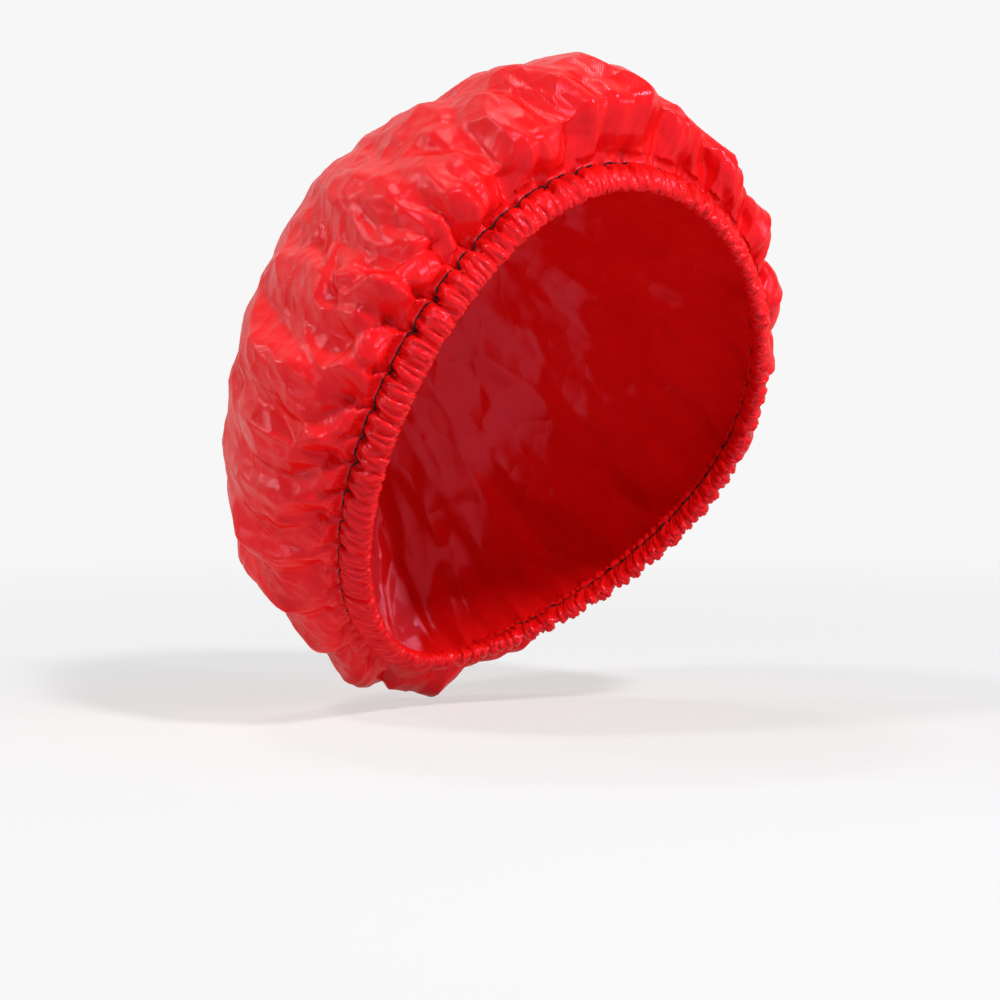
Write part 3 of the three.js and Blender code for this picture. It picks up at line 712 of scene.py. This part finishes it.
def strip(outer, inner):
    """Faces between two closed rings of vertex numbers, the outer with as many or twice as many."""
    count = len(inner)
    here, there = np.arange(count), (np.arange(count) + 1) % count
    if len(outer) == count:
        return [np.stack([outer[here], outer[there], inner[there], inner[here]], axis=1)]
    first, middle, last = outer[2 * here], outer[2 * here + 1], outer[(2 * here + 2) % len(outer)]
    corners = (
        (first, middle, inner[here]), (middle, inner[there], inner[here]), (middle, last, inner[there])
    )
    return [np.stack(part, axis=1) for part in corners]


def small_creases(places):
    """How far the small creases stand out from the cloth, at places on the cut."""
    radius = np.hypot(places[:, 0], places[:, 1])
    spots = places * np.minimum(CREASE_ROUND / np.maximum(radius, MM), 1)[:, None]
    spots[:, 2] = CREASE_DRAW_SHARE * np.maximum(radius - CREASE_ROUND, 0)
    heights = np.zeros(len(places))
    for size, height, low in SMALL_CREASES:
        nearest = np.array([noise.voronoi(Vector(spot))[0][0] for spot in spots / size])
        heights += height * (np.minimum(nearest**2, 1.0) - low)
    grown = smooth((radius - CREASE_MIDDLE_RADIUS) / CREASE_GROWTH)
    strength = CREASE_MIDDLE_SHARE + (1 - CREASE_MIDDLE_SHARE) * grown
    return heights * strength * smooth((CROWN_RUN - CREASE_HEM_GAP - radius) / CREASE_HEM_FADE)


def cloth_rings(worked):
    """(run, points) of rings from the hem's inner edge to the crown's middle, each of the finest grid."""
    rings = []
    for grid, (runs, cloth, _) in reversed(list(zip(GRIDS, worked))):
        gap = RING_GAP_SHARE * grid[1]
        low = rings[-1][0] + gap if rings else -math.inf
        high = CROWN_RUN - MIDDLE_GAP if grid is GRIDS[0] else runs[0] - gap
        for run, ring in zip(runs[::-1], cloth[::-1]):
            if low < run < high:
                one_in = next((count for start, count in THINNED if run > start), 1)
                rings.append((run, ring[::one_in]))
    return rings


def cloth_piece(worked):
    """The cloth as a closed mesh: an outer face, an inner face, and the cut edge between them."""
    points, places, numbers, start = [], [], [], 0
    for run, ring in cloth_rings(worked):
        turn = np.arange(len(ring)) / len(ring) * 2 * math.pi
        radius = CROWN_RUN - run
        points.append(ring)
        places.append(np.stack([radius * np.cos(turn), radius * np.sin(turn), 0 * turn], axis=1))
        numbers.append(start + np.arange(len(ring)))
        start += len(ring)
    middle = worked[0][1][0].mean(axis=0)
    points = np.concatenate(points + [middle[None, :]])
    places = np.concatenate(places + [np.zeros((1, 3))])
    faces = []
    for outer, inner in zip(numbers, numbers[1:]):
        faces += strip(outer, inner)
    last = numbers[-1]
    faces.append(np.stack([last, np.roll(last, -1), np.full(len(last), start)], axis=1))

    normals = np.zeros_like(points)
    for part in faces:
        corners = part.shape[1]
        a, b, c, d = (points[part[:, k % corners]] for k in range(4))
        face_normal = np.cross(c - a, d - b)
        for k in range(corners):
            np.add.at(normals, part[:, k], face_normal)
    normals = unit(normals)
    points = points + normals * small_creases(places)[:, None]
    half = normals * CLOTH_HALF_THICKNESS
    count = len(points)
    edge, after = numbers[0], np.roll(numbers[0], -1)
    rim = np.stack([edge + count, after + count, after, edge], axis=1)
    parts = [(part, 0) for part in faces] + [(part[:, ::-1] + count, 1) for part in faces] + [(rim, 1)]
    return np.concatenate([points + half, points - half]), np.concatenate([places, places]), parts


def new_object(name, data):
    thing = bpy.data.objects.new(name, data)
    bpy.context.collection.objects.link(thing)
    return thing


def make_mesh(name, points, parts):
    """A mesh object from points and (faces, material number) parts."""
    mesh = bpy.data.meshes.new(name)
    loops = np.concatenate([part.ravel() for part, _ in parts])
    sizes = np.concatenate([np.full(len(part), part.shape[1]) for part, _ in parts])
    starts = np.concatenate([[0], np.cumsum(sizes)[:-1]])
    mesh.vertices.add(len(points))
    mesh.vertices.foreach_set("co", points.astype(np.float32).ravel())
    mesh.loops.add(len(loops))
    mesh.loops.foreach_set("vertex_index", loops.astype(np.int32))
    mesh.polygons.add(len(sizes))
    mesh.polygons.foreach_set("loop_start", starts.astype(np.int32))
    mesh.polygons.foreach_set("loop_total", sizes.astype(np.int32))
    numbers = np.concatenate([np.full(len(part), number) for part, number in parts])
    mesh.polygons.foreach_set("material_index", numbers.astype(np.int32))
    mesh.polygons.foreach_set("use_smooth", np.full(len(sizes), True))
    mesh.update(calc_edges=True)
    mesh.validate()
    return new_object(name, mesh)


STITCH_LENGTH = 2.7 * MM
THREAD_RADIUS = 0.32 * MM
STITCH_SIDES = 8
STITCH_CLIMB = 1.6  # how fast a stitch comes clear of the cloth under it, by its height
THREAD_RISE_SHARE = 0.8  # of the thread's radius, for a height of 1
# Each stitch from hole to hole: share of its length, height over the cloth, share of the thread's radius.
STITCH_PROFILE = (
    (0.02, -0.9, 0.5), (0.04, -0.3, 0.8), (0.09, 0.35, 0.95), (0.18, 0.8, 1.0), (0.35, 1.0, 1.05),
    (0.5, 1.05, 1.05), (0.65, 1.0, 1.05), (0.82, 0.8, 1.0), (0.91, 0.35, 0.95), (0.96, -0.3, 0.8),
    (0.98, -0.9, 0.5),
)


def along_row(values, where):
    """Values of a closed row of columns, read between them."""
    low = np.floor(where).astype(int)
    part = (where - low)[:, None]
    return values[low % len(values)] * (1 - part) + values[(low + 1) % len(values)] * part


def stitches_piece(name, worked, run, side, count):
    """Single stitches along the cloth's row at a run, on its outer side (1) or its inner side (-1)."""
    runs, cloth, _ = worked[-1]
    line = cloth[row_at(runs, run)]
    columns = len(line)
    out = hem_frame(lip_turns(columns))[2] * side
    per_stitch = columns / count
    profile = np.array(STITCH_PROFILE)
    share, height = profile[:, 0], profile[:, 1]
    angle = np.arange(STITCH_SIDES) / STITCH_SIDES * 2 * math.pi
    points, parts = [], []
    for i in range(count):
        first = i * per_stitch
        place = first + share * per_stitch
        start, end = along_row(line, place[[0, -1]])
        way = unit(along_row(out, place))
        chord = start + (end - start) * ((share - share[0]) / (share[-1] - share[0]))[:, None]
        inner = np.arange(math.ceil(first), math.floor(first + per_stitch) + 1)
        part = ((inner - first) / per_stitch)[:, None]
        under = line[inner % columns] - (start + (end - start) * part)
        clear = max((under * out[inner % columns]).sum(1).max(), 0) + CLOTH_HALF_THICKNESS
        lift = np.where(height > 0, clear * np.minimum(STITCH_CLIMB * height, 1), 0)
        heart = chord + way * (lift + height * THREAD_RADIUS * THREAD_RISE_SHARE)[:, None]
        along = unit(np.gradient(heart, axis=0))
        across = unit(np.cross(way, along))
        above = np.cross(along, across)
        radius = (profile[:, 2] * THREAD_RADIUS)[:, None, None]
        sideways = np.cos(angle)[None, :, None] * across[:, None]
        upwards = np.sin(angle)[None, :, None] * above[:, None]
        points.append((heart[:, None] + radius * (sideways + upwards)).reshape(-1, 3))
        spots = i * profile.shape[0] * STITCH_SIDES + np.arange(profile.shape[0] * STITCH_SIDES)
        spots = spots.reshape(-1, STITCH_SIDES)
        low, high = spots[:-1], spots[1:]
        quads = np.stack([low, np.roll(low, -1, axis=1), np.roll(high, -1, axis=1), high], axis=-1)
        parts += [(quads.reshape(-1, 4), 0), (spots[:1, ::-1], 0), (spots[-1:], 0)]
    return make_mesh(name, np.concatenate(points), parts)


# The camera stands where the photograph was taken from, in metres but for the lens.
CAMERA_TURN = math.radians(-37)
CAMERA_LIFT = math.radians(4)
CAMERA_DISTANCE = 1.3
CAMERA_SIDE = -0.01298
CAMERA_RISE = -0.02351
CAMERA_CLIP = 0.01
LENS = 133.4  # mm, on a 36 mm sensor

view_back = Vector((
    math.sin(CAMERA_TURN) * math.cos(CAMERA_LIFT),
    -math.cos(CAMERA_TURN) * math.cos(CAMERA_LIFT),
    math.sin(CAMERA_LIFT),
))
view_right = Vector((math.cos(CAMERA_TURN), math.sin(CAMERA_TURN), 0))
view_up = view_back.cross(view_right)
camera_data = bpy.data.cameras.new("camera")
camera_data.lens = LENS
camera_data.clip_start = CAMERA_CLIP
camera = new_object("camera", camera_data)
eye = view_right * CAMERA_SIDE + view_up * CAMERA_RISE + view_back * CAMERA_DISTANCE
turned = Matrix((view_right, view_up, view_back)).transposed().to_4x4()
camera.matrix_world = Matrix.Translation(eye) @ turned
scene = bpy.context.scene
scene.camera = camera
scene.view_settings.view_transform = "Standard"


class Nodes:
    """A short way to write a material's nodes."""

    def __init__(self, tree):
        self.tree = tree
        tree.nodes.clear()

    def new(self, kind, inputs=(), **settings):
        node = self.tree.nodes.new(kind)
        for name, value in settings.items():
            setattr(node, name, value)
        for name, value in dict(inputs).items():
            if hasattr(value, "links"):
                self.tree.links.new(value, node.inputs[name])
            else:
                node.inputs[name].default_value = value
        return node

    def math(self, operation, first, second=0.0):
        return self.new("ShaderNodeMath", {0: first, 1: second}, operation=operation).outputs[0]

    def ramp(self, value, low, dark, high, colour):
        """The dark colour up to low, and the other from high on."""
        node = self.new("ShaderNodeValToRGB", {"Fac": value})
        for element, place, shade in zip(node.color_ramp.elements, (low, high), (dark, colour)):
            element.position = place
            element.color = (*shade, 1.0)
        return node.outputs["Color"]

    def noise(self, place, scale, detail, roughness=0.5, distortion=0.0):
        return self.new("ShaderNodeTexNoise", {
            "Vector": place, "Scale": scale, "Detail": detail, "Roughness": roughness,
            "Distortion": distortion,
        }).outputs["Fac"]


def new_material(name):
    material = bpy.data.materials.new(name)
    material.use_nodes = True
    return material, Nodes(material.node_tree)


TWILL_PITCH = 0.85 * MM
YARN_PITCH_SHARE = 0.8  # of the twill's pitch, for the yarns across its lines
YARN_HEIGHT_SHARE = 0.35
FINE_CREASE_SIZE = 8 * MM
FINE_CREASE_DEPTH = 0.5 * MM
MOTTLE_SCALE = 26.0
WEAR_SCALE = 60.0
ROUGHNESS_SPREAD = 0.12
GLOSS_POWER = 1.6  # by which the gloss falls off where the cloth turns away
GLOSS_TINT = (1.0, 0.45, 0.7, 1.0)
THREAD_ROUGHNESS = 0.75
THREAD_GLOSS = 0.2
FIBRE_HEIGHT = 0.1 * MM


def cloth_material(name, colour, dark, roughness, shine, twill_depth):
    material, nodes = new_material(name)
    place = nodes.new("ShaderNodeAttribute", attribute_name="cut_place").outputs["Vector"]
    parts = nodes.new("ShaderNodeSeparateXYZ", {"Vector": place})
    slant = nodes.math("ADD", parts.outputs["X"], parts.outputs["Y"])
    lines = nodes.math("MULTIPLY", slant, 2 * math.pi / (TWILL_PITCH * math.sqrt(2)))
    cross = nodes.math("SUBTRACT", parts.outputs["X"], parts.outputs["Y"])
    yarns = nodes.math("MULTIPLY", cross, 2 * math.pi / (TWILL_PITCH * YARN_PITCH_SHARE))
    yarns = nodes.math("MULTIPLY", nodes.math("SINE", yarns), YARN_HEIGHT_SHARE)
    weave = nodes.math("ADD", nodes.math("SINE", lines), yarns)
    cell = nodes.new("ShaderNodeTexVoronoi", {"Vector": place, "Scale": 1 / FINE_CREASE_SIZE}, feature="F1")
    fine = nodes.math("MULTIPLY", nodes.math("POWER", cell.outputs["Distance"], 2.0), FINE_CREASE_DEPTH)
    height = nodes.math("ADD", nodes.math("MULTIPLY", weave, twill_depth), fine)
    bump = nodes.new("ShaderNodeBump", {"Height": height, "Strength": 1.0, "Distance": 1.0})
    shade = nodes.ramp(nodes.noise(place, MOTTLE_SCALE, 4.0, 0.55), 0.3, dark, 0.7, colour)
    worn = nodes.math("MULTIPLY", nodes.noise(place, WEAR_SCALE, 3.0), ROUGHNESS_SPREAD)
    rough = nodes.math("ADD", worn, roughness - ROUGHNESS_SPREAD / 2)
    away = nodes.new("ShaderNodeLayerWeight", {"Blend": 0.5}).outputs["Facing"]
    facing = nodes.math("SUBTRACT", 1.0, away)
    gloss = nodes.math("MULTIPLY", nodes.math("POWER", facing, GLOSS_POWER), shine)
    shader = nodes.new("ShaderNodeBsdfPrincipled", {
        "Base Color": shade, "Roughness": rough, "Normal": bump.outputs["Normal"],
        "Specular IOR Level": gloss, "Specular Tint": GLOSS_TINT,
    })
    nodes.new("ShaderNodeOutputMaterial", {"Surface": shader.outputs["BSDF"]})
    return material


def thread_material(name, colour, dark, scale):
    material, nodes = new_material(name)
    place = nodes.new("ShaderNodeTexCoord").outputs["Object"]
    fibres = nodes.noise(place, scale, 3.0, 0.65, 1.0)
    shade = nodes.ramp(fibres, 0.3, dark, 0.75, colour)
    bump = nodes.new("ShaderNodeBump", {"Height": fibres, "Strength": 0.6, "Distance": FIBRE_HEIGHT})
    shader = nodes.new("ShaderNodeBsdfPrincipled", {
        "Base Color": shade, "Roughness": THREAD_ROUGHNESS, "Normal": bump.outputs["Normal"],
        "Specular IOR Level": THREAD_GLOSS,
    })
    nodes.new("ShaderNodeOutputMaterial", {"Surface": shader.outputs["BSDF"]})
    return material


def dress(piece, *materials):
    piece.data.materials.clear()
    for material in materials:
        piece.data.materials.append(material)


outer_material = cloth_material(
    "coated_twill", (0.86, 0.008, 0.009), (0.76, 0.005, 0.006), 0.2, 0.35, 0.012 * MM
)
# The inner face: the cloth's red back, darkened with painted shade for the shadowed inside of the cap.
back_and_painted_shade_material = cloth_material(
    "twill_back_painted_shade", (0.12, 0.012, 0.014), (0.09, 0.009, 0.011), 0.85, 0.03, 0.04 * MM
)
black_thread = thread_material("black_thread", (0.012, 0.011, 0.012), (0.004, 0.004, 0.004), 9000.0)
white_elastic = thread_material("elastic_weave", (0.84, 0.82, 0.77), (0.62, 0.60, 0.55), 2600.0)

worked = work_cloth()
points, places, parts = cloth_piece(worked)
cap_cloth = make_mesh("cap_cloth", points, parts)
cut_place = cap_cloth.data.attributes.new("cut_place", "FLOAT_VECTOR", "POINT")
cut_place.data.foreach_set("vector", places.astype(np.float32).ravel())
dress(cap_cloth, outer_material, back_and_painted_shade_material)

stitch_count = round(lip_run()[1][-1] / STITCH_LENGTH)
needle = stitches_piece("needle_stitches", worked, 0.0, 1, stitch_count)
bobbin = stitches_piece("bobbin_stitches", worked, -OUTER_LEG - INNER_LEG, -1, stitch_count)
dress(needle, black_thread)
dress(bobbin, black_thread)
for node, material in (("elastic_band", white_elastic), ("elastic_tack", black_thread)):
    dress(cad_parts[node], material)

for piece, slot in ((cap_cloth, "coated_twill"), (needle, "black_thread"), (bobbin, "black_thread")):
    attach(piece, "root")
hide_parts("crown_shell", "hem_casing")
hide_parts("needle_thread")
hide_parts("bobbin_thread")

# Lamps: place by the camera's ways to the right, up and back, the point it faces, its two sides, watts.
LAMPS = {
    "key": ((0.8, 1.5, 1.3), (0, 0, 0.03), (0.25, 0.25), 31),
    "front": ((-1.0, 1.5, 0.8), (0, 0, 0), (0.25, 0.25), 12),
    "rim": ((-1.6, 0.9, -0.5), (0, 0, 0), (0.08, 0.35), 4.5),
    "low": ((-1.6, 0.1, 0.2), (0, 0, 0), (0.08, 0.2), 2),
    "top": ((-0.4, 1.8, -0.5), (0, 0, 0), (0.35, 0.08), 5),
    "side": ((1.6, 0.4, 0.7), (0, 0, 0), (0.1, 0.5), 11),
}
for name, ((right, up, back), target, size, power) in LAMPS.items():
    data = bpy.data.lights.new(name, "AREA")
    data.shape = "RECTANGLE"
    data.size, data.size_y = size
    data.energy = power
    light = new_object(name, data)
    light.location = view_right * right + view_up * up + view_back * back
    light.rotation_euler = (Vector(target) - light.location).to_track_quat("-Z", "Y").to_euler()

WHITE = (1.0, 1.0, 1.0, 1.0)
BACKGROUND_STRENGTH = 0.93  # where it is seen
WORLD_STRENGTH = 0.03  # as light on the cap
FLOOR_COLOUR = (0.86, 0.86, 0.86, 1.0)
FLOOR_HEIGHT = -0.1035
FLOOR_REACH = 4.0
FLOOR_WHITE_SHARE = 0.6  # of the background in the floor's look, round the cap
FLOOR_FADE = (0.22, 0.75)  # from this distance on it grows, and from this one on it is all
floor_mesh = bpy.data.meshes.new("floor")
corners = [(x * FLOOR_REACH, y * FLOOR_REACH, FLOOR_HEIGHT) for x, y in ((-1, -1), (1, -1), (1, 1), (-1, 1))]
floor_mesh.from_pydata(corners, [], [(0, 1, 2, 3)])
floor = new_object("floor", floor_mesh)


def seen_directly(nodes):
    """1 for rays from the camera and those mirrored or bent by a surface, else 0."""
    path = nodes.new("ShaderNodeLightPath")
    seen = nodes.math("MAXIMUM", path.outputs["Is Camera Ray"], path.outputs["Is Glossy Ray"])
    return nodes.math("MAXIMUM", seen, path.outputs["Is Transmission Ray"])


floor_material, nodes = new_material("floor")
place = nodes.new("ShaderNodeTexCoord").outputs["Object"]
away = nodes.new("ShaderNodeVectorMath", {0: place}, operation="LENGTH").outputs["Value"]
near, far = FLOOR_FADE
fade = nodes.new("ShaderNodeMapRange", {"Value": away, "From Min": near, "From Max": far}).outputs["Result"]
plain = nodes.new("ShaderNodeBsdfDiffuse", {"Color": FLOOR_COLOUR})
white = nodes.new("ShaderNodeEmission", {"Color": WHITE, "Strength": BACKGROUND_STRENGTH})
white_share = nodes.math("ADD", nodes.math("MULTIPLY", fade, 1 - FLOOR_WHITE_SHARE), FLOOR_WHITE_SHARE)
blend = nodes.new("ShaderNodeMixShader", {
    "Fac": nodes.math("MULTIPLY", white_share, seen_directly(nodes)),
    1: plain.outputs[0], 2: white.outputs[0],
})
nodes.new("ShaderNodeOutputMaterial", {"Surface": blend.outputs[0]})
floor_mesh.materials.append(floor_material)

world = bpy.data.worlds.new("world")
world.use_nodes = True
scene.world = world
nodes = Nodes(world.node_tree)
dim = nodes.new("ShaderNodeBackground", {"Color": WHITE, "Strength": WORLD_STRENGTH})
bright = nodes.new("ShaderNodeBackground", {"Color": WHITE, "Strength": BACKGROUND_STRENGTH})
blend = nodes.new("ShaderNodeMixShader", {
    "Fac": seen_directly(nodes), 1: dim.outputs[0], 2: bright.outputs[0],
})
nodes.new("ShaderNodeOutputWorld", {"Surface": blend.outputs[0]})
